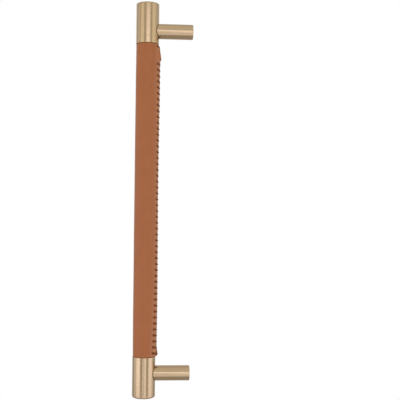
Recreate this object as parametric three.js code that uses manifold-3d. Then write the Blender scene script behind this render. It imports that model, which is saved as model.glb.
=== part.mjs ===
// Leather-wrapped bar pull: a turned brass bar on two coped posts, with a hand-stitched leather grip.
// Millimetres. +Z runs up the bar, the hand is on the -Y side and the door is behind at +Y.
// The origin is on the door's face, midway between the two posts.

import * as THREE from 'three';
import { mergeVertices } from 'three/addons/utils/BufferGeometryUtils.js';
import Module from 'manifold-3d';

const wasm = await Module();
wasm.setup();

// The pull as a whole
const holeCentres = 160;
const fingerGap = 15.9; // from the door to the back of the bar
const endOverhang = 12; // bar beyond each post's axis
const barShift = 0.85; // the bar and its grip sit this much above the middle between the posts
const gripSetback = 3.6; // plain brass between the side of a post and the leather

// Bar and posts
const barDiameter = 10.8;
const barRimRound = 0.7;
const shoulderRound = 0.25; // where the brass meets the leather
const postDiameter = 7.05;
const postRimRound = 0.35;
const jointGap = 0.3; // between the bar and the coped root of a post

// Studs that join them, and the tapped holes for the door's screws
const studDiameter = 4;
const studInBar = 5.5;
const studInPost = 6;
const studGap = 0.3; // round a stud and past its ends
const studChamfer = 0.45;
const studSocketFlats = 2;
const studSocketDepth = 1.6;
const screwHoleDiameter = 3.3;
const screwHoleChamfer = 0.4;

// Leather
const leatherThickness = 1;
const leatherStep = 0.2; // the leather lies this much below the brass
const seatGap = 0.3; // between the leather and the neck, and at the neck's two shoulders

// Seam: the two edges are thinned, butted and lifted into a ridge
const seamGap = 0.3;
const ridgeHeight = 0.45;
const ridgeEndRun = 2; // length over which the ridge fades at each end
const skiveRun = 1.6; // width over which the sheet thins towards the seam
const seamMiddle = 95; // degrees from +X of the seam's middle, just past straight back
const seamTurnTop = 9; // degrees that the seam wanders from there towards +X at each end
const seamTurnBottom = 19;

// Thread
const threadDiameter = 0.7;
const threadGap = 0.1; // between the thread and whatever it passes
const stitchPitch = 2.74;
const stitchReach = 1.9; // from the seam to each row of holes, along the leather
const stitchSlant = 1.37; // how far a stitch drops while it crosses the seam
const stitchEndMargin = 1.5; // least leather beyond the middle of the first and last stitch
const holeEdge = 0.1; // leather between a hole and the foot of the ridge
const threadTail = 0.4; // tucked under the leather at each end

// Fineness of the round shapes
const barSides = 48;
const postSides = 36;
const studSides = 20;
const wrapSides = 18;
const holeSides = 6;
const threadSides = 5;
const rimSteps = 3;
const wrapRows = 8;

// Worked out from the values above
const barRadius = barDiameter / 2;
const postRadius = postDiameter / 2;
const studRadius = studDiameter / 2;
const threadRadius = threadDiameter / 2;
const barAxisY = -(fingerGap + barRadius);
const barLength = holeCentres + 2 * endOverhang;
const leatherLength = barLength - 2 * (endOverhang + postRadius + gripSetback);
const leatherRadius = barRadius - leatherStep;
const neckRadius = leatherRadius - leatherThickness - seatGap;
const neckLength = leatherLength + 2 * seatGap;
const stitchHoleRadius = (threadRadius + threadGap) / Math.cos(Math.PI / holeSides);
const ridgeHalfWidth = stitchReach + stitchHoleRadius + holeEdge;
const edgeThickness = leatherThickness + seatGap - threadDiameter - 2 * threadGap;

const brass = new THREE.MeshStandardMaterial({ color: 0xc8a882, metalness: 1, roughness: 0.32 });
const leather = new THREE.MeshStandardMaterial({ color: 0xa1664a, metalness: 0, roughness: 0.6 });
const thread = new THREE.MeshStandardMaterial({ color: 0x5e3018, metalness: 0, roughness: 0.7 });
const steel = new THREE.MeshStandardMaterial({ color: 0x9a9a98, metalness: 1, roughness: 0.35 });

// Joining and cutting

// A closed geometry as a solid: shared vertices merged, triangles that have no area dropped.
function toSolid(geometry) {
  const bare = geometry.clone();
  bare.deleteAttribute('normal');
  bare.deleteAttribute('uv');
  const merged = mergeVertices(bare);
  const index = merged.index.array;
  const kept = [];
  for (let i = 0; i < index.length; i += 3) {
    const [a, b, c] = [index[i], index[i + 1], index[i + 2]];
    if (a !== b && b !== c && c !== a) kept.push(a, b, c);
  }
  return new wasm.Manifold(new wasm.Mesh({
    numProp: 3,
    vertProperties: new Float32Array(merged.attributes.position.array),
    triVerts: new Uint32Array(kept),
  }));
}

function toGeometry(solid) {
  const mesh = solid.getMesh();
  const geometry = new THREE.BufferGeometry();
  geometry.setAttribute('position', new THREE.BufferAttribute(mesh.vertProperties, 3));
  geometry.setIndex(new THREE.BufferAttribute(mesh.triVerts, 1));
  geometry.computeVertexNormals();
  return geometry;
}

// Turned shapes

// Points of a quarter round from one direction to the next, angles in quarter turns.
function quarterRound(centreX, centreY, radius, fromQuarter) {
  const points = [];
  for (let step = 0; step <= rimSteps; step++) {
    const angle = (fromQuarter + step / rimSteps) * Math.PI / 2;
    points.push([centreX + radius * Math.cos(angle), centreY + radius * Math.sin(angle)]);
  }
  return points;
}

// Turns an outline of [radius, height] pairs about the Y axis. It runs up the outside.
function turned(outline, sides) {
  return new THREE.LatheGeometry(outline.map(([x, y]) => new THREE.Vector2(Math.max(x, 0), y)), sides);
}

// A drilled hole's shape along Y, from a pointed bottom to its mouth.
function drill(radius, bottom, mouth, sides) {
  const point = radius * Math.tan(THREE.MathUtils.degToRad(31));
  return turned([[0, bottom - point], [radius, bottom], [radius, mouth], [0, mouth]], sides);
}

function barGeometry() {
  const end = barLength / 2;
  const shoulder = neckLength / 2;
  const body = turned([
    [0, -end],
    ...quarterRound(barRadius - barRimRound, -end + barRimRound, barRimRound, -1),
    ...quarterRound(barRadius - shoulderRound, -shoulder - shoulderRound, shoulderRound, 0),
    [neckRadius, -shoulder],
    [neckRadius, shoulder],
    ...quarterRound(barRadius - shoulderRound, shoulder + shoulderRound, shoulderRound, -1),
    ...quarterRound(barRadius - barRimRound, end - barRimRound, barRimRound, 0),
    [0, end],
  ], barSides).rotateX(Math.PI / 2);
  let solid = toSolid(body);
  const holeRadius = studRadius + studGap;
  for (const postZ of [holeCentres / 2, -holeCentres / 2]) {
    const hole = drill(holeRadius, barRadius - studInBar - studGap, barRadius + jointGap, studSides);
    hole.translate(0, 0, postZ - barShift);
    solid = solid.subtract(toSolid(hole));
  }
  return toGeometry(solid);
}

// A post: foot at y = 0, through bore, root cut to the bar's round.
function postGeometry() {
  const bore = screwHoleDiameter / 2;
  const socket = studRadius + studGap;
  const socketEnd = barAxisY + barRadius + jointGap + studInPost + studGap;
  const body = turned([
    [socket, barAxisY],
    [postRadius, barAxisY],
    ...quarterRound(postRadius - postRimRound, -postRimRound, postRimRound, 0),
    [bore + screwHoleChamfer, 0],
    [bore, -screwHoleChamfer],
    [bore, socketEnd],
    [socket, socketEnd],
    [socket, barAxisY],
  ], postSides);
  const copeRadius = barRadius + jointGap;
  const cope = new THREE.CylinderGeometry(copeRadius, copeRadius, 2 * postDiameter, barSides);
  cope.rotateX(Math.PI / 2);
  cope.translate(0, barAxisY, 0);
  return toGeometry(toSolid(body).subtract(toSolid(cope)));
}

// A headless set screw along Y, with its hexagon socket at the door end.
function studGeometry() {
  const inner = barAxisY + barRadius - studInBar;
  const outer = barAxisY + barRadius + jointGap + studInPost;
  const body = turned([
    [0, inner],
    [studRadius - studChamfer, inner],
    [studRadius, inner + studChamfer],
    [studRadius, outer - studChamfer],
    [studRadius - studChamfer, outer],
    [0, outer],
  ], studSides);
  const socketRadius = studSocketFlats / Math.sqrt(3);
  const socket = new THREE.CylinderGeometry(socketRadius, socketRadius, 2 * studSocketDepth, 6);
  socket.translate(0, outer, 0);
  return toGeometry(toSolid(body).subtract(toSolid(socket)));
}

// The leather, in the bar's own frame: z is along the bar from its middle

function smoothStep(t) {
  const x = THREE.MathUtils.clamp(t, 0, 1);
  return x * x * (3 - 2 * x);
}

// Direction of the seam from +X, in radians: about straight back in the middle, turned at the ends.
function seamAngle(z) {
  const along = 2 * z / leatherLength;
  const turn = along > 0 ? seamTurnTop : seamTurnBottom;
  return THREE.MathUtils.degToRad(seamMiddle - turn * along * along);
}

// Outer radius of the leather at a distance across from the seam.
function outerRadius(across, z) {
  const fromEnd = leatherLength / 2 - Math.abs(z);
  const share = Math.min(Math.abs(across) / ridgeHalfWidth, 1);
  const swell = Math.cos(share * Math.PI / 2) ** 2;
  return leatherRadius + ridgeHeight * swell * smoothStep(fromEnd / ridgeEndRun);
}

// Inner radius: the sheet is thinned beside the seam, which leaves room for the thread.
function innerRadius(across, z) {
  const thinning = (Math.abs(across) - ridgeHalfWidth) / skiveRun;
  const thickness = THREE.MathUtils.lerp(
    edgeThickness, leatherThickness, THREE.MathUtils.clamp(thinning, 0, 1));
  return outerRadius(across, z) - thickness;
}

// A point of the grip, by its distance across from the seam, its radius and its height.
function gripPoint(across, radius, z) {
  const angle = seamAngle(z) + across / leatherRadius;
  return new THREE.Vector3(radius * Math.cos(angle), radius * Math.sin(angle), z);
}

// Distances across from the seam, from its one edge all the way round to the other.
function sheetColumns() {
  const besideHoles = stitchReach - stitchHoleRadius - holeEdge;
  const edge = [seamGap / 2, besideHoles / 2, besideHoles, ridgeHalfWidth, ridgeHalfWidth + skiveRun];
  const round = 2 * Math.PI * leatherRadius;
  const plainFrom = edge[edge.length - 1];
  const plainWidth = round - 2 * plainFrom;
  const columns = edge.map((across) => ({ across, position: across }));
  for (let i = 1; i < wrapSides; i++) {
    const position = plainFrom + plainWidth * i / wrapSides;
    columns.push({ across: Math.min(position, round - position), position });
  }
  for (const across of edge.toReversed()) {
    columns.push({ across, position: round - across });
  }
  return columns;
}

// Heights of the sheet's rows: close at the ends, where the ridge fades.
function sheetRows() {
  const half = leatherLength / 2;
  const rows = [-half, -half + ridgeEndRun / 2];
  const from = -half + ridgeEndRun;
  for (let i = 0; i <= wrapRows; i++) {
    rows.push(from + (leatherLength - 2 * ridgeEndRun) * i / wrapRows);
  }
  rows.push(half - ridgeEndRun / 2, half);
  return rows;
}

// The sheet before it is punched: a closed strip bent round the bar, outer side, inner side and ends.
function sheetGeometry() {
  const columns = sheetColumns();
  const rows = sheetRows();
  const count = columns.length;
  const points = [];
  for (const z of rows) {
    for (const { across, position } of columns) {
      points.push(gripPoint(position, outerRadius(across, z), z));
    }
    for (const { across, position } of columns.toReversed()) {
      points.push(gripPoint(position, innerRadius(across, z), z));
    }
  }
  const loop = 2 * count;
  const faces = [];
  const quad = (a, b, c, d) => faces.push(a, b, c, a, c, d);
  for (let row = 0; row < rows.length - 1; row++) {
    const low = row * loop;
    const high = low + loop;
    for (let i = 0; i < loop; i++) {
      const next = (i + 1) % loop;
      quad(low + i, low + next, high + next, high + i);
    }
  }
  const top = (rows.length - 1) * loop;
  for (let i = 0; i < count - 1; i++) {
    const inner = loop - 1 - i;
    quad(i, inner, inner - 1, i + 1);
    quad(top + i, top + i + 1, top + inner - 1, top + inner);
  }
  const geometry = new THREE.BufferGeometry().setFromPoints(points);
  geometry.setIndex(faces);
  return geometry;
}

// Middle height of each stitch, from the top down.
function stitchHeights() {
  const gaps = Math.floor((leatherLength - 2 * stitchEndMargin) / stitchPitch);
  const first = gaps * stitchPitch / 2;
  return Array.from({ length: gaps + 1 }, (_, i) => first - i * stitchPitch);
}

// A radial awl hole through the sheet at one end of a stitch.
function awlHole(across, z) {
  const from = neckRadius;
  const to = barRadius + ridgeHeight + threadDiameter;
  const hole = new THREE.CylinderGeometry(stitchHoleRadius, stitchHoleRadius, to - from, holeSides);
  hole.rotateZ(-Math.PI / 2);
  hole.translate((from + to) / 2, 0, 0);
  hole.rotateZ(seamAngle(z) + across / leatherRadius);
  hole.translate(0, 0, z);
  return toSolid(hole);
}

function leatherGeometry() {
  const holes = stitchHeights().flatMap((z) => [
    awlHole(-stitchReach, z + stitchSlant / 2),
    awlHole(stitchReach, z - stitchSlant / 2),
  ]);
  return toGeometry(toSolid(sheetGeometry()).subtract(wasm.Manifold.union(holes)));
}

// The thread's route: up through one hole, over the ridge, down the other and back underneath.
function threadRoute() {
  const over = (across, z) =>
    gripPoint(across, outerRadius(across, z) + threadGap + threadRadius, z);
  const under = (across, z) =>
    gripPoint(across, (neckRadius + innerRadius(across, z)) / 2, z);
  const heights = stitchHeights();
  const points = [under(0, heights[0] + stitchSlant / 2 + threadTail)];
  heights.forEach((z, i) => {
    const rise = z + stitchSlant / 2;
    const fall = z - stitchSlant / 2;
    points.push(under(-stitchReach, rise), over(-stitchReach, rise));
    points.push(over(-stitchReach / 2, z + stitchSlant / 4), over(0, z));
    points.push(over(stitchReach / 2, z - stitchSlant / 4));
    points.push(over(stitchReach, fall), under(stitchReach, fall));
    const last = i === heights.length - 1;
    points.push(under(0, last ? fall - threadTail : (fall + heights[i + 1] + stitchSlant / 2) / 2));
  });
  return points;
}

function threadGeometry() {
  const points = threadRoute();
  const route = new THREE.CatmullRomCurve3(points);
  route.getUtoTmapping = (u) => u; // one step for each point of the route
  const corners = Array.from({ length: threadSides }, (_, i) => {
    const angle = 2 * Math.PI * i / threadSides;
    return new THREE.Vector2(threadRadius * Math.cos(angle), threadRadius * Math.sin(angle));
  });
  return toGeometry(toSolid(new THREE.ExtrudeGeometry(new THREE.Shape(corners), {
    steps: points.length - 1,
    bevelEnabled: false,
    extrudePath: route,
  })));
}

function piece(name, geometry, material) {
  const mesh = new THREE.Mesh(geometry, material);
  mesh.name = name;
  return mesh;
}

// The grip's pieces share the bar's own frame.
const grip = new THREE.Group();
grip.position.set(0, barAxisY, barShift);
grip.add(piece('bar', barGeometry(), brass));
grip.add(piece('leather_wrap', leatherGeometry(), leather));
grip.add(piece('seam_thread', threadGeometry(), thread));

const pull = new THREE.Group();
pull.add(grip);
for (const [side, z] of [['upper', holeCentres / 2], ['lower', -holeCentres / 2]]) {
  const support = new THREE.Group();
  support.position.z = z;
  support.add(piece(`${side}_post`, postGeometry(), brass));
  support.add(piece(`${side}_stud`, studGeometry(), steel));
  pull.add(support);
}

export default pull;
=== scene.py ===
"""A round brass bar pull on two posts, its grip wrapped in tan leather with a hand-stitched seam.

Metres throughout. +Z runs up the bar, the hand is on the -Y side and the door is behind at +Y. Each
shape is a surface of two parameters, or an outline turned about an axis, worked out as numpy arrays.
"""

import math

import bmesh
import bpy
import numpy as np
from mathutils import Matrix, Vector


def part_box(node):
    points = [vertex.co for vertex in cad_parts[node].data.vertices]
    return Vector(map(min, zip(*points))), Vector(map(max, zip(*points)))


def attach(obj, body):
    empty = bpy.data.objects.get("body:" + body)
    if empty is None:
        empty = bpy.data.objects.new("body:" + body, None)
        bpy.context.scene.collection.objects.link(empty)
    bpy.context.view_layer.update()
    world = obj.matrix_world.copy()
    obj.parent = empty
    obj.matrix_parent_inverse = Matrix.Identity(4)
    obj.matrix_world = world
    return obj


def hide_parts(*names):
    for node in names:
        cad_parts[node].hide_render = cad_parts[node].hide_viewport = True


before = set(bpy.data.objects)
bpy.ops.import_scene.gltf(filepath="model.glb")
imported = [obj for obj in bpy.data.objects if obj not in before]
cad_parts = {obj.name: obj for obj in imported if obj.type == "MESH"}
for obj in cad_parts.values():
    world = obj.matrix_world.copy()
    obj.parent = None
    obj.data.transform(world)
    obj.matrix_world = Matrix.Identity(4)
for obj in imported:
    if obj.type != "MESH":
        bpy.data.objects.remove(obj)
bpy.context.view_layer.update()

MM = 0.001

# Places and sizes that the frame gives
BAR_LOW, BAR_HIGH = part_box("bar")
POST_LOW, POST_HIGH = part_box("upper_post")
STUD_LOW, STUD_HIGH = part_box("upper_stud")
LOWER_LOW, LOWER_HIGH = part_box("lower_post")
WRAP_LOW, WRAP_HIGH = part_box("leather_wrap")
BAR_RADIUS = (BAR_HIGH.x - BAR_LOW.x) / 2
BAR_AXIS_Y = BAR_LOW.y + BAR_RADIUS
BAR_MIDDLE = (BAR_HIGH.z + BAR_LOW.z) / 2
BAR_LENGTH = BAR_HIGH.z - BAR_LOW.z
WRAP_LENGTH = WRAP_HIGH.z - WRAP_LOW.z
POST_RADIUS = (POST_HIGH.z - POST_LOW.z) / 2
UPPER_Z = (POST_HIGH.z + POST_LOW.z) / 2
LOWER_Z = (LOWER_HIGH.z + LOWER_LOW.z) / 2
DOOR_Y = POST_HIGH.y
STUD_RADIUS = (STUD_HIGH.z - STUD_LOW.z) / 2

# Brass: roundings, the neck under the leather, and the holes
RIM_ROUND = 0.8 * MM
SHOULDER_ROUND = 0.15 * MM
FOOT_ROUND = 0.35 * MM
ROOT_ROUND = 0.16 * MM
JOINT_GAP = 0.1 * MM
SEAT_GAP = 0.3 * MM
END_GAP = 0.1 * MM
STUD_GAP = 0.3 * MM
STUD_POINT = 1.4 * MM
BORE_RADIUS = 1.65 * MM
BORE_CHAMFER = 0.4 * MM
SCREW_PITCH = 0.7 * MM
SCREW_DEPTH = 0.3 * MM
ROOT_FOLLOW = 0.5 * MM
ROOT_BLEND = 4 * MM

# Rings of the brass: the smallest on an end face, how close to an edge, how far apart, and how near
# two points count as one
INNER_RING = 0.25 * MM
BAR_EDGE_LOOP = 0.05 * MM
BAR_RING_STEP = 3 * MM
POST_EDGE_LOOP = 0.04 * MM
POST_RING_STEP = 0.085 * MM
SAME_PLACE = 0.0001 * MM

# Leather
LEATHER_STEP = 0.2 * MM
LEATHER_THICKNESS = 1.0 * MM
LEATHER_RADIUS = BAR_RADIUS - LEATHER_STEP
NECK_RADIUS = LEATHER_RADIUS - LEATHER_THICKNESS - SEAT_GAP
SEAM_MIDDLE = math.radians(95)
SEAM_TURN_TOP = math.radians(9)
SEAM_TURN_BOTTOM = math.radians(23)
SEAM_GAP = 0.1 * MM
RIDGE_HEIGHT = 0.58 * MM
RIDGE_FLAT = 0.9 * MM
RIDGE_HALF_WIDTH = 2.8 * MM
RIDGE_THIN = 0.6 * MM
RIDGE_FADE_TOP = 2.6 * MM
RIDGE_FADE_BOTTOM = 0.35 * MM
RIDGE_WAVE = 0.12 * MM
RIDGE_WAVE_CREST = 61 * MM
RIDGE_WAVE_LENGTH = 104 * MM
SKIVE_RUN = 1.6 * MM
END_ROUND = 0.22 * MM
EDGE_ROUND = 0.1 * MM
EDGE_WIDTH = 0.05 * MM
THINNEST = 0.12 * MM
CLOSE_REACH = 3.3 * MM
LEATHER_FULL = 0.13 * MM
FULL_RUN = 20 * MM

# Stitches
STITCH_PITCH = 2.75 * MM
STITCH_REACH = 2.1 * MM
STITCH_SLANT = 0.8 * MM
STITCH_END_MARGIN = 1.2 * MM
STITCH_BOW = 0.17 * MM
STITCH_GAPS = int((WRAP_LENGTH - 2 * STITCH_END_MARGIN) / STITCH_PITCH)
STITCH_FIRST = STITCH_GAPS * STITCH_PITCH / 2
BURIED_STITCH = 1
HALF_BURIED_STITCH = 2
LOOSE_STITCH = STITCH_FIRST - 1.6 * STITCH_PITCH
LAST_LUMP = STITCH_FIRST + 0.3 * MM
LUMP_HEIGHT = 0.55 * MM
LUMP_WIDTH = 2.4 * MM
THREAD_RADIUS = 0.37 * MM
THREAD_LAY = 2.3 * MM
THREAD_STEP = 0.24 * MM
THREAD_PRESSED = 0.08 * MM
THREAD_UNEVEN = 0.03 * MM
THREAD_BURIED = 0.38 * MM
PLY_SHARE = 0.42
STEPS_A_STITCH = 200

# Marks in the leather: how wide, then how deep
HOLE_EDGE = 0.25 * MM
GROOVE_WIDTH = 0.45 * MM
PIT_WIDTH = 0.40 * MM
DRAWN_WIDTH = 0.38 * MM
DRAWN_RUN = 0.55 * MM
CREASE_WIDTH = 0.28 * MM
NOTCH_WIDTH = 0.26 * MM
PRESSED_FROM_END = 1.25 * MM
PRESSED_WIDTH = 0.16 * MM
WRINKLE_WIDTH = 0.11 * MM
GROOVE_DEPTH = 0.26 * MM
PIT_DEPTH = 0.34 * MM
DRAWN_DEPTH = 0.07 * MM
CREASE_DEPTH = 0.05 * MM
NOTCH_DEPTH = 0.22 * MM
PRESSED_DEPTH = 0.03 * MM
WRINKLE_DEPTH = 0.03 * MM
PUCKER_HEIGHT = 0.09 * MM
WAVE_HEIGHT = 0.012 * MM

# Wrinkles near the top: height in millimetres, direction in radians, lean, and reach in radians
WRINKLES = (
    (69.6, 0.75, 0.9, 0.30),
    (68.3, 0.55, 0.7, 0.25),
    (70.7, 0.3, 0.5, 0.2),
)

# Camera, fitted to the photograph
CAMERA_AZIMUTH = 89.803
CAMERA_ELEVATION = -0.272
CAMERA_DISTANCE = 0.36318
CAMERA_AIM = Vector((0, -0.022, 0))
CAMERA_YAW = -4.125
CAMERA_PITCH = 0.179
CAMERA_ROLL = -0.661
SENSOR = 36.0
PICTURE_SIDE = 400
FOCAL_LENGTH_IN_PIXELS = 773.5
LENS = SENSOR * FOCAL_LENGTH_IN_PIXELS / PICTURE_SIDE

# Studio
FLOOR_Z = -0.36
FLOOR_RADIUS = 1.0
CARD_RADIUS = 1.0
CARD_NARROW = 0.63
CARD_MIDDLE_X = -0.37
CARD_Z = FLOOR_Z + 0.01
DOME_RADIUS = 1.25
DOME_TOP = 1.3
DOME_LOW = -0.75
PANEL_DISTANCE = 1.0
KEY = (0.97, 0.98, 1.12)
SIDE = (1.03, 1.0, 0.84)
FAR = (0.95, 1.0, 1.2)

# Metals: colour, colour of the duller places, roughness and depth of the fine marks
BRASS = (0.59, 0.43, 0.275)
DULL_BRASS = (0.565, 0.408, 0.257)
BRASS_ROUGHNESS = 0.19
BRASS_MARKS = 4e-6
STEEL = (0.58, 0.58, 0.57)
DULL_STEEL = (0.5, 0.5, 0.49)
STEEL_ROUGHNESS = 0.35
STEEL_MARKS = 1e-5


# Arrays

def smooth_step(share):
    """Three squares less two cubes of a share held between 0 and 1."""
    held = np.clip(share, 0.0, 1.0)
    return held * held * (3 - 2 * held)


def bell(distance, width):
    """A bell curve: e to the minus square of the distance in widths."""
    return np.exp(-(distance / width) ** 2)


def quarter_round(centre, radius, start, steps=8):
    """Points (outward, along) of a quarter circle, from `start` quarter turns to the next one."""
    angle = (start + np.linspace(0, 1, steps + 1)) * math.pi / 2
    return np.stack([centre[0] + radius * np.cos(angle), centre[1] + radius * np.sin(angle)], axis=1)


def with_edge_loops(outline, inset, longest):
    """An outline with a point `inset` from both ends of each long stretch, and even points between."""
    made = [outline[0]]
    for start, stop in zip(outline[:-1], outline[1:]):
        length = float(np.hypot(*(stop - start)[:2]))
        if length > 4 * inset:
            count = max(1, math.ceil((length - 2 * inset) / longest))
            shares = np.linspace(inset / length, 1 - inset / length, count + 1)
            made.extend(start + (stop - start) * share for share in shares)
        made.append(stop)
    return np.array(made)


def grid_faces(rows, columns, wrap_rows=False, wrap_columns=True):
    """Quads between neighbours of a grid of points kept row by row."""
    row, column = np.meshgrid(
        np.arange(rows if wrap_rows else rows - 1),
        np.arange(columns if wrap_columns else columns - 1),
        indexing="ij",
    )
    next_row = (row + 1) % rows
    next_column = (column + 1) % columns
    corners = [(row, column), (row, next_column), (next_row, next_column), (next_row, column)]
    return np.stack([r * columns + c for r, c in corners], axis=-1).reshape(-1, 4)


def pole_faces(rows, columns):
    """Triangles that close the first and the last row of a grid on two points kept after it."""
    first = np.arange(columns)
    second = (first + 1) % columns
    start = rows * columns
    last = start - columns
    low = np.stack([np.full(columns, start), second, first], axis=1)
    high = np.stack([np.full(columns, start + 1), last + first, last + second], axis=1)
    return np.concatenate([low, high])


# Objects

def add_mesh(name, points, face_sets, attributes=None):
    """A smooth-shaded object from points, sets of faces with as many corners each, and point values."""
    mesh = bpy.data.meshes.new(name)
    corners = np.concatenate([faces.ravel() for faces in face_sets]).astype(np.int32)
    sizes = np.concatenate([np.full(len(faces), faces.shape[1]) for faces in face_sets])
    starts = (np.cumsum(sizes) - sizes).astype(np.int32)
    mesh.vertices.add(len(points))
    mesh.vertices.foreach_set("co", points.astype(np.float32).ravel())
    mesh.loops.add(len(corners))
    mesh.loops.foreach_set("vertex_index", corners)
    mesh.polygons.add(len(sizes))
    mesh.polygons.foreach_set("loop_start", starts)
    mesh.polygons.foreach_set("use_smooth", np.ones(len(sizes), dtype=bool))
    for key, values in (attributes or {}).items():
        layer = mesh.attributes.new(key, "FLOAT", "POINT")
        layer.data.foreach_set("value", values.astype(np.float32).ravel())
    mesh.update(calc_edges=True)
    made = bpy.data.objects.new(name, mesh)
    bpy.context.scene.collection.objects.link(made)
    return made


def keep_edges_crisp(piece, degrees=38):
    """Marks the edges between faces that meet at more than an angle as sharp for the shading."""
    piece.data.set_sharp_from_angle(angle=math.radians(degrees))


def dress(piece, node, material):
    """Gives a piece its material and its body, and hides the node that it stands for."""
    piece.data.materials.append(material)
    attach(piece, "root")
    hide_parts(node)


# Materials

def place(tree, kind, inputs=None, **settings):
    """A node with its settings and the values of its own sockets."""
    made = tree.nodes.new(kind)
    for key, value in settings.items():
        setattr(made, key, value)
    for key, value in (inputs or {}).items():
        made.inputs[key].default_value = value
    return made


def join(tree, *links):
    """Links (node, output, node, input)."""
    for source, output, target, entry in links:
        tree.links.new(source.outputs[output], target.inputs[entry])


def new_group(name, entries, exits):
    """A shader node group with named inputs and outputs, each (kind, name, value)."""
    tree = bpy.data.node_groups.new(name, "ShaderNodeTree")
    for direction, sockets in (("INPUT", entries), ("OUTPUT", exits)):
        for kind, label, value in sockets:
            socket = tree.interface.new_socket(label, in_out=direction, socket_type=kind)
            if value is not None:
                socket.default_value = value
    return tree, tree.nodes.new("NodeGroupInput"), tree.nodes.new("NodeGroupOutput")


def satin_marks_group():
    """Fine marks of a turned and satin-brushed surface.

    Two noises on coordinates that the material has squeezed across the piece's axis, so that they
    run round it: the fine one is the height of the marks, the slow one a mask of the duller places.
    """
    tree, entry, leave = new_group(
        "satin_marks",
        [("NodeSocketVector", "Vector", None), ("NodeSocketFloat", "Scale", 13000.0)],
        [("NodeSocketFloat", "Height", None), ("NodeSocketFloat", "Dull", None)],
    )
    fine = place(tree, "ShaderNodeTexNoise", {"Detail": 3.0, "Roughness": 0.6})
    slower = place(tree, "ShaderNodeMath", {1: 0.08}, operation="MULTIPLY")
    slow = place(tree, "ShaderNodeTexNoise", {"Detail": 2.0, "Roughness": 0.5})
    join(
        tree,
        (entry, "Vector", fine, "Vector"),
        (entry, "Scale", fine, "Scale"),
        (entry, "Scale", slower, 0),
        (entry, "Vector", slow, "Vector"),
        (slower, 0, slow, "Scale"),
        (fine, "Fac", leave, "Height"),
        (slow, "Fac", leave, "Dull"),
    )
    return tree


def hide_grain_group():
    """Leather grain: cells with low places between them, fine creases and a slow mottle.

    The height is the distance to each cell's edge plus a fine noise. Pores is 1 in the low places, and
    Mottle is a slow noise for the colour.
    """
    tree, entry, leave = new_group(
        "hide_grain",
        [("NodeSocketVector", "Vector", None), ("NodeSocketFloat", "Scale", 2600.0)],
        [
            ("NodeSocketFloat", "Height", None),
            ("NodeSocketFloat", "Pores", None),
            ("NodeSocketFloat", "Mottle", None),
        ],
    )
    bent = place(tree, "ShaderNodeTexNoise", {"Scale": 900.0, "Detail": 2.0})
    push = place(tree, "ShaderNodeVectorMath", {"Scale": 0.00035}, operation="SCALE")
    moved = place(tree, "ShaderNodeVectorMath", operation="ADD")
    cells = place(tree, "ShaderNodeTexVoronoi", feature="DISTANCE_TO_EDGE")
    raised = place(tree, "ShaderNodeMapRange", {"From Max": 0.28}, interpolation_type="SMOOTHSTEP")
    creases = place(tree, "ShaderNodeTexNoise", {"Scale": 7000.0, "Detail": 3.0, "Roughness": 0.6})
    faint = place(tree, "ShaderNodeMath", {1: 0.45}, operation="MULTIPLY")
    height = place(tree, "ShaderNodeMath", operation="ADD")
    pores = place(tree, "ShaderNodeMapRange", {"From Max": 0.1, "To Min": 1.0, "To Max": 0.0})
    mottle = place(tree, "ShaderNodeTexNoise", {"Scale": 170.0, "Detail": 4.0, "Roughness": 0.55})
    join(
        tree,
        (entry, "Vector", bent, "Vector"),
        (bent, "Color", push, 0),
        (entry, "Vector", moved, 0),
        (push, 0, moved, 1),
        (moved, 0, cells, "Vector"),
        (entry, "Scale", cells, "Scale"),
        (cells, "Distance", raised, "Value"),
        (entry, "Vector", creases, "Vector"),
        (creases, "Fac", faint, 0),
        (raised, "Result", height, 0),
        (faint, 0, height, 1),
        (cells, "Distance", pores, "Value"),
        (entry, "Vector", mottle, "Vector"),
        (height, 0, leave, "Height"),
        (pores, "Result", leave, "Pores"),
        (mottle, "Fac", leave, "Mottle"),
    )
    return tree


def tone_group():
    """Moves a colour towards a darker one and a lighter one, each by a mask."""
    tree, entry, leave = new_group(
        "tone_by_masks",
        [
            ("NodeSocketColor", "Base", None),
            ("NodeSocketColor", "Dark", None),
            ("NodeSocketColor", "Light", None),
            ("NodeSocketFloat", "Dark Mask", 0.0),
            ("NodeSocketFloat", "Light Mask", 0.0),
        ],
        [("NodeSocketColor", "Color", None)],
    )
    darker = place(tree, "ShaderNodeMix", data_type="RGBA")
    lighter = place(tree, "ShaderNodeMix", data_type="RGBA")
    join(
        tree,
        (entry, "Dark Mask", darker, 0),
        (entry, "Base", darker, 6),
        (entry, "Dark", darker, 7),
        (entry, "Light Mask", lighter, 0),
        (darker, 2, lighter, 6),
        (entry, "Light", lighter, 7),
        (lighter, 2, leave, "Color"),
    )
    return tree


def new_material(name, **sockets):
    """A material with a Principled shader, its even values set on the shader's own sockets."""
    made = bpy.data.materials.new(name)
    made.use_nodes = True
    tree = made.node_tree
    shader = tree.nodes["Principled BSDF"]
    for key, value in sockets.items():
        shader.inputs[key.replace("_", " ").title().replace("Ior", "IOR")].default_value = value
    return made, tree, shader


def add_group(tree, group, **values):
    """A group placed in a material with its own values."""
    made = tree.nodes.new("ShaderNodeGroup")
    made.node_tree = group
    for key, value in values.items():
        made.inputs[key.replace("_", " ")].default_value = value
    return made


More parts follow.
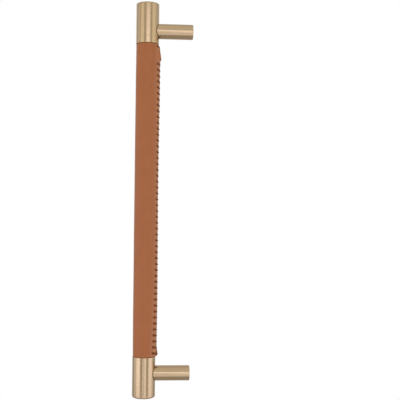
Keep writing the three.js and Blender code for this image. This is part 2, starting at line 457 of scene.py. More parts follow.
def turned_metal(name, group, centre, squeeze, colours, roughness, depth):
    """Satin metal with fine marks round its axis: the coordinates are squeezed across that axis.

    The two colours are mixed by the group's mask of duller places, which the roughness follows too.
    """
    made, tree, shader = new_material(name, metallic=1.0, coat_roughness=0.12, coat_weight=0.12)
    where = place(tree, "ShaderNodeTexCoord")
    mapping = place(tree, "ShaderNodeMapping", {"Location": centre, "Scale": squeeze})
    marks = add_group(tree, group)
    bump = place(tree, "ShaderNodeBump", {"Strength": 0.3, "Distance": depth})
    bright, dull = (colour + (1,) for colour in colours)
    tone = place(tree, "ShaderNodeMix", {6: bright, 7: dull}, data_type="RGBA")
    rough = place(
        tree,
        "ShaderNodeMapRange",
        {"From Min": 0.3, "From Max": 0.7, "To Min": roughness * 0.85, "To Max": roughness * 1.15},
    )
    join(
        tree,
        (where, "Object", mapping, "Vector"),
        (mapping, "Vector", marks, "Vector"),
        (marks, "Height", bump, "Height"),
        (bump, "Normal", shader, "Normal"),
        (marks, "Dull", tone, 0),
        (tone, 2, shader, "Base Color"),
        (marks, "Dull", rough, "Value"),
        (rough, "Result", shader, "Roughness"),
    )
    return made


def leather_material(grain, tone):
    """Smooth tan leather, darkened by painted shade where the thread presses in and paled by a painted
    highlight on the puckers between stitches.
    """
    made, tree, shader = new_material("tan_leather", ior=1.38, sheen_weight=0.02, sheen_roughness=0.4)
    where = place(tree, "ShaderNodeTexCoord")
    pattern = add_group(tree, grain)
    # Masks carried by the points: painted shade, and below it the painted highlight.
    painted_shade = place(tree, "ShaderNodeAttribute", attribute_name="painted_shade")
    # pull carries the painted highlight on the puckers and just outside the holes.
    pull = place(tree, "ShaderNodeAttribute", attribute_name="pull")
    base = place(
        tree,
        "ShaderNodeMix",
        {6: (0.415, 0.135, 0.046, 1), 7: (0.435, 0.143, 0.050, 1)},
        data_type="RGBA",
    )
    spread = place(tree, "ShaderNodeMapRange", {"From Min": 0.35, "From Max": 0.65})
    pores = place(tree, "ShaderNodeMath", {1: 0.14}, operation="MULTIPLY")
    # The darker of the grain's low places and the painted shade.
    dark = place(tree, "ShaderNodeMath", operation="MAXIMUM")
    # Dark is the colour of the painted shade, Light that of the painted highlight.
    shade = add_group(
        tree, tone, Dark=(0.112, 0.022, 0.004, 1), Light=(0.50, 0.215, 0.105, 1))
    rough = place(tree, "ShaderNodeMapRange", {"To Min": 0.34, "To Max": 0.46})
    bump = place(tree, "ShaderNodeBump", {"Strength": 0.3, "Distance": 0.00006})
    join(
        tree,
        (where, "Object", pattern, "Vector"),
        (pattern, "Mottle", spread, "Value"),
        (spread, "Result", base, 0),
        (base, 2, shade, "Base"),
        (pattern, "Pores", pores, 0),
        (pores, 0, dark, 0),
        (painted_shade, "Fac", dark, 1),
        (dark, 0, shade, "Dark Mask"),
        # The painted highlight, from the pull mask.
        (pull, "Fac", shade, "Light Mask"),
        (shade, "Color", shader, "Base Color"),
        (pattern, "Mottle", rough, "Value"),
        (rough, "Result", shader, "Roughness"),
        (pattern, "Height", bump, "Height"),
        (bump, "Normal", shader, "Normal"),
    )
    return made


def thread_material(tone):
    """Waxed dark brown thread, with painted shade between its plies and fine fibres along them."""
    made, tree, shader = new_material("waxed_thread", ior=1.4, specular_ior_level=0.3)
    where = place(tree, "ShaderNodeTexCoord")
    # Painted shade in the grooves between the plies.
    painted_ply_shade = place(tree, "ShaderNodeAttribute", attribute_name="painted_ply_shade")
    fibre = place(tree, "ShaderNodeTexNoise", {"Scale": 9000.0, "Detail": 3.0, "Roughness": 0.65})
    slow = place(tree, "ShaderNodeTexNoise", {"Scale": 260.0, "Detail": 2.0})
    light = place(tree, "ShaderNodeMapRange", {"From Min": 0.4, "From Max": 0.75, "To Max": 0.6})
    # Dark is the colour of the painted shade between the plies.
    shade = add_group(
        tree,
        tone,
        Base=(0.25, 0.077, 0.026, 1),
        Dark=(0.055, 0.013, 0.004, 1),
        Light=(0.33, 0.110, 0.042, 1),
    )
    rough = place(tree, "ShaderNodeMapRange", {"To Min": 0.42, "To Max": 0.66})
    bump = place(tree, "ShaderNodeBump", {"Strength": 0.3, "Distance": 0.00004})
    join(
        tree,
        (where, "Object", fibre, "Vector"),
        (where, "Object", slow, "Vector"),
        (painted_ply_shade, "Fac", shade, "Dark Mask"),
        (fibre, "Fac", light, "Value"),
        (light, "Result", shade, "Light Mask"),
        (shade, "Color", shader, "Base Color"),
        (slow, "Fac", rough, "Value"),
        (rough, "Result", shader, "Roughness"),
        (fibre, "Fac", bump, "Height"),
        (bump, "Normal", shader, "Normal"),
    )
    return made


# Turned brass

def bar_rings(sides=160):
    """The bar: its outline, as distance from the axis and height, turned about the bar's axis.

    The outline runs from the middle of the lower end face to that of the upper one: a rounded rim,
    the brass, a rounded shoulder, the thinner neck under the leather, and the same again.
    """
    end = BAR_LENGTH / 2
    shoulder = WRAP_LENGTH / 2 + END_GAP
    rim = BAR_RADIUS - RIM_ROUND
    lip = BAR_RADIUS - SHOULDER_ROUND
    half = np.concatenate([
        quarter_round((lip, shoulder + SHOULDER_ROUND), SHOULDER_ROUND, -1, 6),
        quarter_round((rim, end - RIM_ROUND), RIM_ROUND, 0, 10),
        [[INNER_RING, end]],
    ])
    lower = half[::-1] * (1, -1)
    outline = np.concatenate([lower, [[NECK_RADIUS, -shoulder], [NECK_RADIUS, shoulder]], half])
    outline = with_edge_loops(outline, BAR_EDGE_LOOP, BAR_RING_STEP)
    angle = np.linspace(0, 2 * math.pi, sides, endpoint=False)
    distance = outline[:, 0, None]
    height = np.broadcast_to(outline[:, 1, None] + BAR_MIDDLE, (len(outline), sides))
    rings = np.stack([distance * np.cos(angle), BAR_AXIS_Y + distance * np.sin(angle), height], axis=-1)
    poles = [[0, BAR_AXIS_Y, BAR_MIDDLE - end], [0, BAR_AXIS_Y, BAR_MIDDLE + end]]
    points = np.concatenate([rings.reshape(-1, 3), poles])
    return points, [grid_faces(len(outline), sides), pole_faces(len(outline), sides)]


def drill(post_z, sides=48):
    """A drill's shape along Y at the height of a post: a pointed bottom, then a straight side."""
    radius = STUD_RADIUS + STUD_GAP
    bottom = STUD_LOW.y - STUD_GAP
    mouth = BAR_AXIS_Y + BAR_RADIUS + MM
    outline = np.array([[0.1 * radius, bottom - STUD_POINT], [radius, bottom], [radius, mouth]])
    angle = np.linspace(0, 2 * math.pi, sides, endpoint=False)
    along = np.broadcast_to(outline[:, 1, None], (len(outline), sides))
    rings = np.stack(
        [outline[:, 0, None] * np.cos(angle), along, post_z - outline[:, 0, None] * np.sin(angle)],
        axis=-1,
    )
    poles = [[0, bottom - STUD_POINT * 1.1, post_z], [0, mouth, post_z]]
    points = np.concatenate([rings.reshape(-1, 3), poles])
    faces = [grid_faces(len(outline), sides), pole_faces(len(outline), sides)]
    return add_mesh("stud_drill", points, faces)


def cut(piece, tool):
    """Takes the tool's shape out of the piece for good, and joins points that fall on one another."""
    modifier = piece.modifiers.new("cut", "BOOLEAN")
    modifier.object = tool
    modifier.operation = "DIFFERENCE"
    modifier.solver = "EXACT"
    graph = bpy.context.evaluated_depsgraph_get()
    made = bpy.data.meshes.new_from_object(piece.evaluated_get(graph))
    piece.modifiers.remove(modifier)
    net = bmesh.new()
    net.from_mesh(made)
    bmesh.ops.remove_doubles(net, verts=net.verts, dist=SAME_PLACE)
    net.to_mesh(made)
    net.free()
    old = piece.data
    piece.data = made
    bpy.data.meshes.remove(old)
    bpy.data.meshes.remove(tool.data)


def make_bar(material):
    """The brass bar with its two stud holes."""
    points, faces = bar_rings()
    bar = add_mesh("brass_bar", points, faces)
    for post_z in (UPPER_Z, LOWER_Z):
        cut(bar, drill(post_z))
    keep_edges_crisp(bar)
    dress(bar, "bar", material)


def post_outline():
    """Rows of a post: distance from its axis, distance from the door, how much it follows the bar.

    The rows run up the root from the socket, along the outside to the foot, and back down the bore.
    """
    root = BAR_AXIS_Y + BAR_RADIUS + JOINT_GAP
    socket = STUD_RADIUS + STUD_GAP
    socket_end = STUD_HIGH.y + STUD_GAP
    foot = quarter_round((POST_RADIUS - FOOT_ROUND, DOOR_Y - FOOT_ROUND), FOOT_ROUND, 0, 8)
    bevel = quarter_round((POST_RADIUS - ROOT_ROUND, root + ROOT_ROUND), ROOT_ROUND, -1, 5)
    sections = (
        ([[socket, root]], 1.0),
        (bevel, 1.0),
        ([[POST_RADIUS, root + ROOT_FOLLOW]], 1.0),
        ([[POST_RADIUS, root + ROOT_BLEND]], 0.0),
        (foot, 0.0),
        ([[BORE_RADIUS + BORE_CHAMFER, DOOR_Y], [BORE_RADIUS, DOOR_Y - BORE_CHAMFER]], 0.0),
        ([[BORE_RADIUS, socket_end], [socket, socket_end]], 0.0),
        ([[socket, root + ROOT_FOLLOW]], 1.0),
    )
    rows = [np.column_stack([points, np.full(len(points), share)]) for points, share in sections]
    closed = np.concatenate(rows + [rows[0]])
    return with_edge_loops(closed, POST_EDGE_LOOP, POST_RING_STEP)[:-1]


def make_post(name, node, post_z, material, sides=112):
    """A brass post, turned about Y, coped to the bar, with a screw thread in its bore.

    The root's distance from the door follows a circle about the bar's axis: the root of the square of
    the cope's radius less the square of the sideways distance. The bore's radius grows by a cosine of
    the distance along it plus the angle round it, which is a screw line.
    """
    outline = post_outline()
    angle = np.linspace(0, 2 * math.pi, sides, endpoint=False)
    radius, along, follow = (outline[:, i, None] for i in range(3))
    depth_in = DOOR_Y - along
    in_bore = (radius < BORE_RADIUS + 0.01 * MM) & (depth_in > BORE_CHAMFER)
    turn = 2 * math.pi * along / SCREW_PITCH + angle
    run_in = smooth_step((depth_in - BORE_CHAMFER) / SCREW_PITCH)
    groove = SCREW_DEPTH * (0.5 + 0.5 * np.cos(turn)) * run_in
    radius = radius + np.where(in_bore, groove, 0.0)
    side = radius * np.cos(angle)
    cope = BAR_RADIUS + JOINT_GAP
    sunk = np.sqrt(cope ** 2 - np.minimum(np.abs(side), POST_RADIUS) ** 2) - cope
    points = np.stack([side, along + follow * sunk, post_z - radius * np.sin(angle)], axis=-1)
    faces = [grid_faces(len(outline), sides, wrap_rows=True)]
    post = add_mesh(name, points.reshape(-1, 3), faces)
    keep_edges_crisp(post)
    dress(post, node, material)


# The grip, in its own frame: height from the bar's middle, distance across from the seam

def seam_angle(height):
    """Direction of the seam from +X.

    It is about straight back in the middle, and turns by the square of the height towards the ends.
    """
    along = 2 * height / WRAP_LENGTH
    turn = np.where(along > 0, SEAM_TURN_TOP, SEAM_TURN_BOTTOM)
    return SEAM_MIDDLE - turn * along ** 2


def ridge_swell(across, height):
    """The raised seam: flat on top, falling by a half cosine to the sides, and faded at the ends.

    Its height rises and falls slowly by a cosine, and swells in a bell at the loose stitch near the top
    and just past the last one.
    """
    share = np.clip((np.abs(across) - RIDGE_FLAT) / (RIDGE_HALF_WIDTH - RIDGE_FLAT), 0, 1)
    from_top = smooth_step((WRAP_LENGTH / 2 - height) / RIDGE_FADE_TOP)
    from_bottom = smooth_step((WRAP_LENGTH / 2 + height) / RIDGE_FADE_BOTTOM)
    slow = RIDGE_WAVE * np.cos(2 * math.pi * (height - RIDGE_WAVE_CREST) / RIDGE_WAVE_LENGTH)
    lumps = bell(height - LOOSE_STITCH, LUMP_WIDTH) + bell(height + LAST_LUMP, LUMP_WIDTH)
    tall = RIDGE_HEIGHT + slow + LUMP_HEIGHT * lumps
    return tall * (0.5 + 0.5 * np.cos(math.pi * share)) * from_top * from_bottom


def stitch_bow(height):
    """How much higher the stitches sit than even steps give: a cosine, most in the middle."""
    return STITCH_BOW * np.cos(math.pi * height / WRAP_LENGTH)


def buried_share(number, across):
    """1 where the swollen leather hides a stitch: all of the second one, one side of the third."""
    one_side = smooth_step(-0.75 - across / (0.8 * MM))
    third = np.where(number == HALF_BURIED_STITCH, one_side, 0.0)
    return np.where(number == BURIED_STITCH, 1.0, third)


def from_stitch(across, height):
    """Distance along the bar from the nearest stitch, how far it shows, and its number from the top.

    The distance is to the stitch's slanting line, and how far it shows goes from 0 to 1.
    """
    slope = STITCH_SLANT / (2 * STITCH_REACH)
    held = np.clip(across, -STITCH_REACH, STITCH_REACH)
    even = height - stitch_bow(height)
    place_in_row = (STITCH_FIRST - even - slope * held) / STITCH_PITCH
    number = np.round(place_in_row)
    inside = (number >= 0) & (number <= STITCH_GAPS)
    seen = inside * (1 - buried_share(number, across))
    return (place_in_row - number) * STITCH_PITCH, seen, number


def uneven(number, speed):
    """A number between -1 and 1 for each stitch: the hand's unevenness, by two sines out of step."""
    return 0.6 * np.sin(number * speed) + 0.4 * np.sin(number * speed * 2.7 + 1.3)


def leather_relief(across, height, angle):
    """Height of the leather's outer side over its plain round, and its painted shade and painted
    highlight masks.

    The ridge, less bells of the distance: a groove under each stitch, a pit at each hole, leather drawn
    in beside it, a crease along the holes, a notch along the butted edges, a pressed line near each
    end and wrinkles near the top. A cosine's pucker between stitches and a very slow wave of sines
    come on top. The sheet is a little fuller on the hand's side, by a sine of the direction, away from
    its ends. The painted shade mask darkens those marks with painted shade, less so near the top, and
    adds a darker patch beside the seam at the last stitch. Pull is a painted highlight: it lightens the
    puckers and the leather just outside the holes.
    """
    off, seen, number = from_stitch(across, height)
    beside = np.abs(across) - STITCH_REACH
    within = smooth_step((HOLE_EDGE - beside) / (2 * HOLE_EDGE))
    groove = bell(off, GROOVE_WIDTH) * within * seen
    pit = bell(np.hypot(off, beside), PIT_WIDTH) * seen
    between = (0.5 - 0.5 * np.cos(2 * math.pi * off / STITCH_PITCH)) * seen
    pucker = between * within * (1 + 0.3 * uneven(number, 2.1))
    fading = np.exp(-np.maximum(beside, 0) / DRAWN_RUN)
    drawn = bell(off, DRAWN_WIDTH) * fading * (1 - within) * seen
    crease = bell(beside, CREASE_WIDTH) * seen
    notch = bell(across, NOTCH_WIDTH)
    # A darker patch on the far side of the seam at the last stitch.
    darker_patch = bell(height + LAST_LUMP - 0.5 * MM, 2.2 * MM) * bell(across - 0.5 * MM, 1.1 * MM)
    from_top = WRAP_LENGTH / 2 - height
    from_end = WRAP_LENGTH / 2 - np.abs(height)
    pressed = bell(from_end - PRESSED_FROM_END, PRESSED_WIDTH)
    rounding = 1 - np.sqrt(1 - np.clip(1 - from_end / END_ROUND, 0, 1) ** 2)
    wave = np.sin(height * 130 + 2 * np.sin(angle)) + np.sin(height * 71 + 3 * angle)
    wrinkles = 0.0
    for rise, turn, lean, reach in WRINKLES:
        line = height - rise * MM + lean * (angle - turn) * LEATHER_RADIUS
        wrinkles = wrinkles + bell(line, WRINKLE_WIDTH) * bell(angle - turn, reach)
    fuller = (0.5 - 0.5 * np.sin(angle)) * smooth_step(from_end / FULL_RUN)
    relief = (
        ridge_swell(across, height)
        + LEATHER_FULL * fuller
        + PUCKER_HEIGHT * pucker
        - GROOVE_DEPTH * groove
        - PIT_DEPTH * pit
        - DRAWN_DEPTH * drawn
        - CREASE_DEPTH * crease
        - NOTCH_DEPTH * notch
        - PRESSED_DEPTH * pressed
        - END_ROUND * 0.6 * rounding
        - WRINKLE_DEPTH * wrinkles
        + WAVE_HEIGHT * wave
    )
    # Scale for the painted shade: less of it near the top.
    less_at_top = 1 - 0.6 * bell(from_top, 9 * MM)
    # Painted shade in the groove, hole, drawn leather and crease of each stitch.
    stitch_shade = less_at_top * (pit + 0.42 * groove + 0.22 * drawn + 0.16 * crease)
    # More painted shade in the slit between the butted edges, the pressed lines, the wrinkles and the
    # rounded ends, and the darker patch at the last stitch.
    painted_shade = stitch_shade + 0.85 * notch + 0.12 * pressed + 0.25 * wrinkles + 0.2 * rounding + 0.7 * darker_patch
    painted_shade = np.clip(painted_shade, 0, 1)
    # Painted highlight: paler on the puckers and just outside the holes, kept off the painted shade.
    pull = np.clip(0.7 * pucker + 0.55 * bell(beside - 0.4 * MM, 0.9 * MM) - painted_shade, 0, 1)
    return relief, painted_shade, pull


def sheet_columns(close=23, wide=30):
    """Distances round the leather from its one edge to the other, close beside the seam."""
    round_way = 2 * math.pi * LEATHER_RADIUS
    edge = SEAM_GAP / 2 + EDGE_WIDTH * (1 - np.cos(np.linspace(0, math.pi / 2, 3)))
    near = np.linspace(edge[-1], CLOSE_REACH, close)[1:]
    plain = np.linspace(CLOSE_REACH, round_way - CLOSE_REACH, wide)[1:-1]
    one_side = np.concatenate([edge, near])
    return np.concatenate([one_side, plain, round_way - one_side[::-1]]), round_way


def make_leather(material, end_rows=7, plain_rows=540):
    """The leather: one sheet bent round the neck, its outer and inner side and its edges one surface.

    A row runs from the seam round the outside to the seam's other edge, and back on the inside. The
    sheet is thinned beside the seam, where it leaves room for the thread.
    """
    position, round_way = sheet_columns()
    across = np.where(position < round_way / 2, position, position - round_way)
    half = WRAP_LENGTH / 2
    close = END_ROUND * (1 - np.cos(np.linspace(0, math.pi / 2, end_rows)))
    plain = np.linspace(-half + END_ROUND, half - END_ROUND, plain_rows)[1:-1]
    height = np.concatenate([-half + close, plain, half - close[::-1]])[:, None]
    angle = seam_angle(height) + position / LEATHER_RADIUS
    from_front = np.mod(angle + math.pi, 2 * math.pi) - math.pi
    # The relief, the painted shade mask and the painted highlight mask.
    relief, painted_shade, pull = leather_relief(across, height, from_front)
    corner = EDGE_ROUND * bell(np.abs(across) - SEAM_GAP / 2, EDGE_WIDTH)
    outer = LEATHER_RADIUS + relief - corner
    thinned = smooth_step((np.abs(across) - RIDGE_HALF_WIDTH) / SKIVE_RUN)
    base = LEATHER_RADIUS + ridge_swell(across, height)
    inner = base - (RIDGE_THIN + (LEATHER_THICKNESS - RIDGE_THIN) * thinned)
    inner = np.minimum(inner, outer - THINNEST)
    radius = np.concatenate([outer, inner[:, ::-1]], axis=1)
    turn = np.concatenate([angle, angle[:, ::-1]], axis=1)
    up = np.broadcast_to(height + BAR_MIDDLE, radius.shape)
    points = np.stack([radius * np.cos(turn), BAR_AXIS_Y + radius * np.sin(turn), up], axis=-1)
    rows, loop = radius.shape
    outer_columns = np.arange(len(position) - 1)
    inner_columns = loop - 1 - outer_columns
    low = np.stack([outer_columns, inner_columns, inner_columns - 1, outer_columns + 1], axis=1)
    high = np.stack([outer_columns, outer_columns + 1, inner_columns - 1, inner_columns], axis=1)
    high = high + (rows - 1) * loop
    # The painted shade and painted highlight masks, on the outer side only.
    masks = {
        "painted_shade": np.concatenate([painted_shade, np.zeros_like(painted_shade)], axis=1),
        "pull": np.concatenate([pull, np.zeros_like(pull)], axis=1),
    }
    faces = [grid_faces(rows, loop), low, high]
    leather = add_mesh("leather_grip", points.reshape(-1, 3), faces, masks)
    dress(leather, "leather_wrap", material)


def thread_route():
    """The thread's middle line, in even steps.

    One turn of a squared-off circle for each stitch: over the ridge along the stitch's slant, down
    through a hole, back under the leather and up through the next hole. The hidden parts of the
    second and third stitch are sunk into the leather.
    """
    stitches = STITCH_GAPS + 1
    start = -math.pi / 2
    phase = np.linspace(start, 2 * math.pi * stitches + start, STEPS_A_STITCH * stitches)
    number = np.floor((phase + math.pi / 2) / (2 * math.pi))
    cosine = np.sign(np.cos(phase)) * np.abs(np.cos(phase)) ** 0.5
    sine = np.sign(np.sin(phase)) * np.abs(np.sin(phase)) ** 0.5
    across = -STITCH_REACH * cosine
    even = STITCH_FIRST - number * STITCH_PITCH
    middle = even + stitch_bow(even)
    over = middle - across * STITCH_SLANT / (2 * STITCH_REACH)
    back = STITCH_PITCH - STITCH_SLANT
    before = np.cos(phase) > 0
    under = middle + across * back / (2 * STITCH_REACH) + np.where(before, 1, -1) * STITCH_PITCH / 2
    height = np.where(sine > 0, over, under)
    base = LEATHER_RADIUS + ridge_swell(across, height)
    lift = THREAD_UNEVEN * uneven(number, 1.9) - THREAD_BURIED * buried_share(number, across)
    high = base - THREAD_PRESSED + lift
    low = (NECK_RADIUS + base - RIDGE_THIN) / 2
    radius = low + (high - low) * (0.5 + 0.5 * sine)
    angle = seam_angle(height) + across / LEATHER_RADIUS
    route = np.stack(
        [radius * np.cos(angle), BAR_AXIS_Y + radius * np.sin(angle), height + BAR_MIDDLE], axis=1)
    travelled = np.concatenate([[0], np.cumsum(np.linalg.norm(np.diff(route, axis=0), axis=1))])
    steps = np.arange(0, travelled[-1], THREAD_STEP)
    return np.stack([np.interp(steps, travelled, route[:, i]) for i in range(3)], axis=1), steps


def make_thread(material, sides=18):
    """The thread: a round of three plies, turned as it goes, carried along the route.

    The ply circles' common outline is the distance to the nearest ply's circle, whose middle turns
    once in each lay. The frame along the route is square to the route and as near +Z as it can be.
    """
    route, steps = thread_route()
    tangent = np.gradient(route, axis=0)
    tangent /= np.linalg.norm(tangent, axis=1)[:, None]
    up = np.array([0.0, 0.0, 1.0])
    first = up - tangent * (tangent @ up)[:, None]
    first /= np.linalg.norm(first, axis=1)[:, None]
    second = np.cross(tangent, first)
    angle = np.linspace(0, 2 * math.pi, sides, endpoint=False)
    third = 2 * math.pi / 3
    from_ply = np.mod(angle - 2 * math.pi * steps[:, None] / THREAD_LAY + third / 2, third) - third / 2
    offset = PLY_SHARE * THREAD_RADIUS
    ply = THREAD_RADIUS - offset
    distance = offset * np.cos(from_ply) + np.sqrt(ply ** 2 - (offset * np.sin(from_ply)) ** 2)
    # Painted shade: 1 in the grooves between the plies.
    painted_ply_shade = smooth_step((np.abs(from_ply) / (third / 2) - 0.62) / 0.38)
    ring = distance[..., None] * (
        np.cos(angle)[:, None] * first[:, None, :] + np.sin(angle)[:, None] * second[:, None, :])
    points = np.concatenate([(route[:, None, :] + ring).reshape(-1, 3), route[[0, -1]]])
    values = np.concatenate([painted_ply_shade.ravel(), [0, 0]])
    faces = [grid_faces(len(route), sides), pole_faces(len(route), sides)]
    thread = add_mesh("seam_stitches", points, faces, {"painted_ply_shade": values})
    dress(thread, "seam_thread", material)


# Camera, lights and stage

def make_camera():
    """The camera at the photograph's viewing angle: aimed by azimuth and elevation, then turned."""
    azimuth = math.radians(CAMERA_AZIMUTH)
    elevation = math.radians(CAMERA_ELEVATION)
    back = Vector((
        math.sin(azimuth) * math.cos(elevation),
        -math.cos(azimuth) * math.cos(elevation),
        math.sin(elevation),
    ))
    forward = -back
    right = forward.cross(Vector((0, 0, 1))).normalized()
    up = right.cross(forward)
    yaw = Matrix.Rotation(math.radians(CAMERA_YAW), 3, up)
    forward, right = yaw @ forward, yaw @ right
    pitch = Matrix.Rotation(math.radians(CAMERA_PITCH), 3, right)
    forward, up = pitch @ forward, pitch @ up
    roll = Matrix.Rotation(math.radians(CAMERA_ROLL), 3, forward)
    right, up = roll @ right, roll @ up
    lens = bpy.data.cameras.new("camera")
    lens.sensor_width = SENSOR
    lens.lens = LENS
    lens.clip_start = 0.01
    camera = bpy.data.objects.new("camera", lens)
    turn = Matrix((right, up, -forward)).transposed().to_4x4()
    camera.matrix_world = Matrix.Translation(CAMERA_AIM + back * CAMERA_DISTANCE) @ turn
    bpy.context.scene.collection.objects.link(camera)
    bpy.context.scene.camera = camera


# Soft panels that stand round the pull: from and to, in degrees from +X towards +Y, low and high in
# metres, brightness and tint. The gaps between them draw the darker lines in the brass.
PANELS = (
    ("front_high", -13, 24, 0.0, 0.36, 0.93, KEY),
    ("front_low_near", -13, -3, -0.35, 0.0, 0.88, KEY),
    ("front_low_far", 2, 24, -0.35, 0.0, 0.88, KEY),
    ("left_high", -75, -36, 0.0, 0.40, 0.47, SIDE),
    ("left_low", -80, -36, -0.35, 0.0, 1.12, KEY),
    ("right_high", 46, 84, 0.0, 0.40, 0.43, SIDE),
    ("right_low", 46, 88, -0.35, 0.0, 0.97, KEY),
    ("side_left_high", -110, -84, 0.0, 0.40, 0.22, FAR),
    ("side_left_low", -112, -84, -0.35, 0.0, 0.5, FAR),
    ("side_right_high", 92, 110, 0.0, 0.40, 0.15, FAR),
    ("side_right_low", 90, 110, -0.35, 0.0, 0.45, FAR),
    ("back_left", -172, -140, -0.35, 0.40, 0.33, FAR),
    ("back_right", 144, 180, -0.35, 0.40, 0.42, FAR),
)


def add_panel(name, start, stop, low, high, brightness, tint):
    """A flat soft panel that faces the bar: power is pi times its area times its brightness."""
    middle = math.radians((start + stop) / 2)
    half = math.radians((stop - start) / 2)
    outward = Vector((math.cos(middle), math.sin(middle), 0))
    lamp = bpy.data.lights.new(name, "AREA")
    lamp.shape = "RECTANGLE"
    lamp.size = 2 * PANEL_DISTANCE * math.tan(half)
    lamp.size_y = high - low
    lamp.energy = math.pi * lamp.size * lamp.size_y * brightness
    lamp.color = tint
    panel = bpy.data.objects.new(name, lamp)
    panel.location = outward * PANEL_DISTANCE + Vector((0, BAR_AXIS_Y, (low + high) / 2))
    panel.rotation_euler = (-outward).to_track_quat("-Z", "Y").to_euler()
    panel.visible_camera = False
    bpy.context.scene.collection.objects.link(panel)


def glow(name, colour, strength):
    """A material that only gives off an even light."""
    made = bpy.data.materials.new(name)
    made.use_nodes = True
    tree = made.node_tree
    tree.nodes.clear()
    light = place(tree, "ShaderNodeEmission", {"Color": colour + (1,), "Strength": strength})
    leave = place(tree, "ShaderNodeOutputMaterial")
    join(tree, (light, "Emission", leave, "Surface"))
    return made


def dome_material():
    """A soft grey light that grows upwards, and again overhead in front: ramps along Z and +X."""
    made = glow("dome_grey", (1.0, 0.99, 0.89), 0.6)
    tree = made.node_tree
    light = next(node for node in tree.nodes if node.type == "EMISSION")
    where = place(tree, "ShaderNodeTexCoord")
    axes = place(tree, "ShaderNodeSeparateXYZ")
    level = place(
        tree, "ShaderNodeMapRange", {"From Min": -0.3, "From Max": 0.3, "To Min": 0.45, "To Max": 0.6})
    ahead = place(tree, "ShaderNodeMapRange", {"From Min": -0.5, "From Max": 0.3, "To Max": 0.19})
    high = place(tree, "ShaderNodeMapRange", {"From Min": 0.35, "From Max": 0.6})
    extra = place(tree, "ShaderNodeMath", operation="MULTIPLY_ADD")
    join(
        tree,
        (where, "Object", axes, "Vector"),
        (axes, "Z", level, "Value"),
        (axes, "X", ahead, "Value"),
        (axes, "Z", high, "Value"),
        (ahead, "Result", extra, 0),
        (high, "Result", extra, 1),
        (level, "Result", extra, 2),
        (extra, 0, light, "Strength"),
    )
    return made


def background_rays(tree):
    """1 for the rays that show the background: the camera's, and those mirrored or passed on."""
    path = place(tree, "ShaderNodeLightPath")
    first = place(tree, "ShaderNodeMath", operation="MAXIMUM")
    second = place(tree, "ShaderNodeMath", operation="MAXIMUM")
    join(
        tree,
        (path, "Is Camera Ray", first, 0),
        (path, "Is Glossy Ray", first, 1),
        (first, 0, second, 0),
        (path, "Is Transmission Ray", second, 1),
    )
    return second


def make_world():
    """A white background where it is seen, and a soft even light where it lights."""
    world = bpy.data.worlds.new("studio")
    bpy.context.scene.world = world
    world.use_nodes = True
    tree = world.node_tree
    tree.nodes.clear()
    seen = background_rays(tree)
    light = place(tree, "ShaderNodeBackground", {"Color": (1, 1, 1, 1), "Strength": 0.6})
    white = place(tree, "ShaderNodeBackground", {"Color": (1, 1, 1, 1), "Strength": 1.0})
    mix = place(tree, "ShaderNodeMixShader")
    leave = place(tree, "ShaderNodeOutputWorld")
    join(
        tree,
        (seen, 0, mix, 0),
        (light, "Background", mix, 1),
        (white, "Background", mix, 2),
        (mix, 0, leave, "Surface"),
    )


def floor_material():
    """A pale floor that is seen nearly white and still takes the shadow."""
    made, tree, shader = new_material("pale_floor", roughness=0.9)
    shader.inputs["Base Color"].default_value = (0.9, 0.9, 0.9, 1)
    seen = background_rays(tree)
    share = place(tree, "ShaderNodeMath", {1: 0.93}, operation="MULTIPLY")
    white = place(tree, "ShaderNodeEmission", {"Color": (1, 1, 1, 1), "Strength": 1.0})
    mix = place(tree, "ShaderNodeMixShader")
    leave = tree.nodes["Material Output"]
    join(
        tree,
        (seen, 0, share, 0),
        (share, 0, mix, 0),
        (shader, "BSDF", mix, 1),
        (white, "Emission", mix, 2),
        (mix, 0, leave, "Surface"),
    )
    return made


def disc(name, radius, height, middle_x=0.0, narrow=1.0, sides=96, rings=12):
    """A flat disc, or an ellipse that is narrower along X: rings of points, closed on their middle."""
    angle = np.linspace(0, 2 * math.pi, sides, endpoint=False)
    shares = np.linspace(0, 1, rings + 1)[:0:-1, None]
    level = np.full((len(shares), sides), height)
    side = middle_x + narrow * radius * shares * np.cos(angle)
    points = np.stack([side, radius * shares * np.sin(angle), level], axis=-1)
    points = np.concatenate([points.reshape(-1, 3), [[middle_x, 0, height]]])
    inner = (len(shares) - 1) * sides + np.arange(sides)
    heart = np.stack([inner, np.roll(inner, -1), np.full(sides, len(points) - 1)], axis=1)
    return add_mesh(name, points, [grid_faces(len(shares), sides), heart])


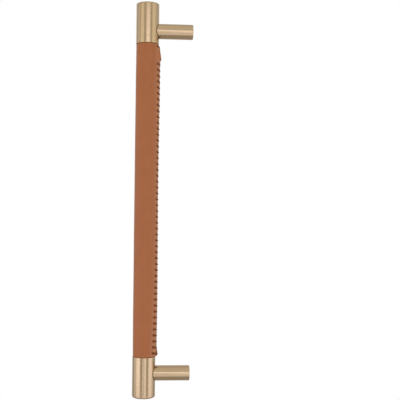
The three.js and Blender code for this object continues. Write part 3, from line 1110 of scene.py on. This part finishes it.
def make_stage(sides=64, rings=16):
    """The floor, a soft grey dome round everything, and a dark card that only the brass mirrors.

    The dome's height is a sine of the rise and its distance the cosine, down to below the floor.
    """
    floor = disc("floor", FLOOR_RADIUS, FLOOR_Z)
    floor.data.materials.append(floor_material())
    angle = np.linspace(0, 2 * math.pi, sides, endpoint=False)
    rise = np.linspace(0, math.pi / 2 * 0.98, rings)[:, None]
    outward = DOME_RADIUS * np.cos(rise)
    level = np.broadcast_to(DOME_LOW + (DOME_TOP - DOME_LOW) * np.sin(rise), (rings, sides))
    points = np.stack([outward * np.cos(angle), outward * np.sin(angle), level], axis=-1)
    dome = add_mesh("dome", points.reshape(-1, 3), [grid_faces(rings, sides)])
    dome.data.materials.append(dome_material())
    dome.visible_camera = False
    card = disc("dark_card", CARD_RADIUS, CARD_Z, CARD_MIDDLE_X, CARD_NARROW)
    card.data.materials.append(glow("card_grey", (1.0, 0.97, 0.9), 0.45))
    card.visible_camera = False
    card.visible_diffuse = False
    card.visible_shadow = False
    card.visible_transmission = False


def make_metals():
    """The three turned metals: brass marked round the bar, brass marked round a post, and steel."""
    satin = satin_marks_group()
    brass = ((BRASS, DULL_BRASS), BRASS_ROUGHNESS, BRASS_MARKS)
    steel = ((STEEL, DULL_STEEL), STEEL_ROUGHNESS, STEEL_MARKS)
    middle = (0, -BAR_AXIS_Y, 0)
    along_bar = turned_metal("satin_brass_bar", satin, middle, (0.02, 0.02, 1), *brass)
    along_post = turned_metal("satin_brass_post", satin, (0, 0, 0), (0.02, 1, 0.02), *brass)
    along_stud = turned_metal("plain_steel", satin, (0, 0, 0), (0.05, 1, 0.05), *steel)
    return along_bar, along_post, along_stud


def main():
    """Builds the pull piece by piece, then the lights and the stage round it."""
    make_camera()
    brass_bar, brass_post, steel = make_metals()
    grain = hide_grain_group()
    tone = tone_group()
    make_bar(brass_bar)
    make_post("upper_brass_post", "upper_post", UPPER_Z, brass_post)
    make_post("lower_brass_post", "lower_post", LOWER_Z, brass_post)
    make_leather(leather_material(grain, tone))
    make_thread(thread_material(tone))
    for name in ("upper_stud", "lower_stud"):
        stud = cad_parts[name]
        stud.data.materials.clear()
        stud.data.materials.append(steel)
    make_world()
    for panel in PANELS:
        add_panel(*panel)
    make_stage()
    bpy.context.scene.view_settings.view_transform = "Standard"


main()
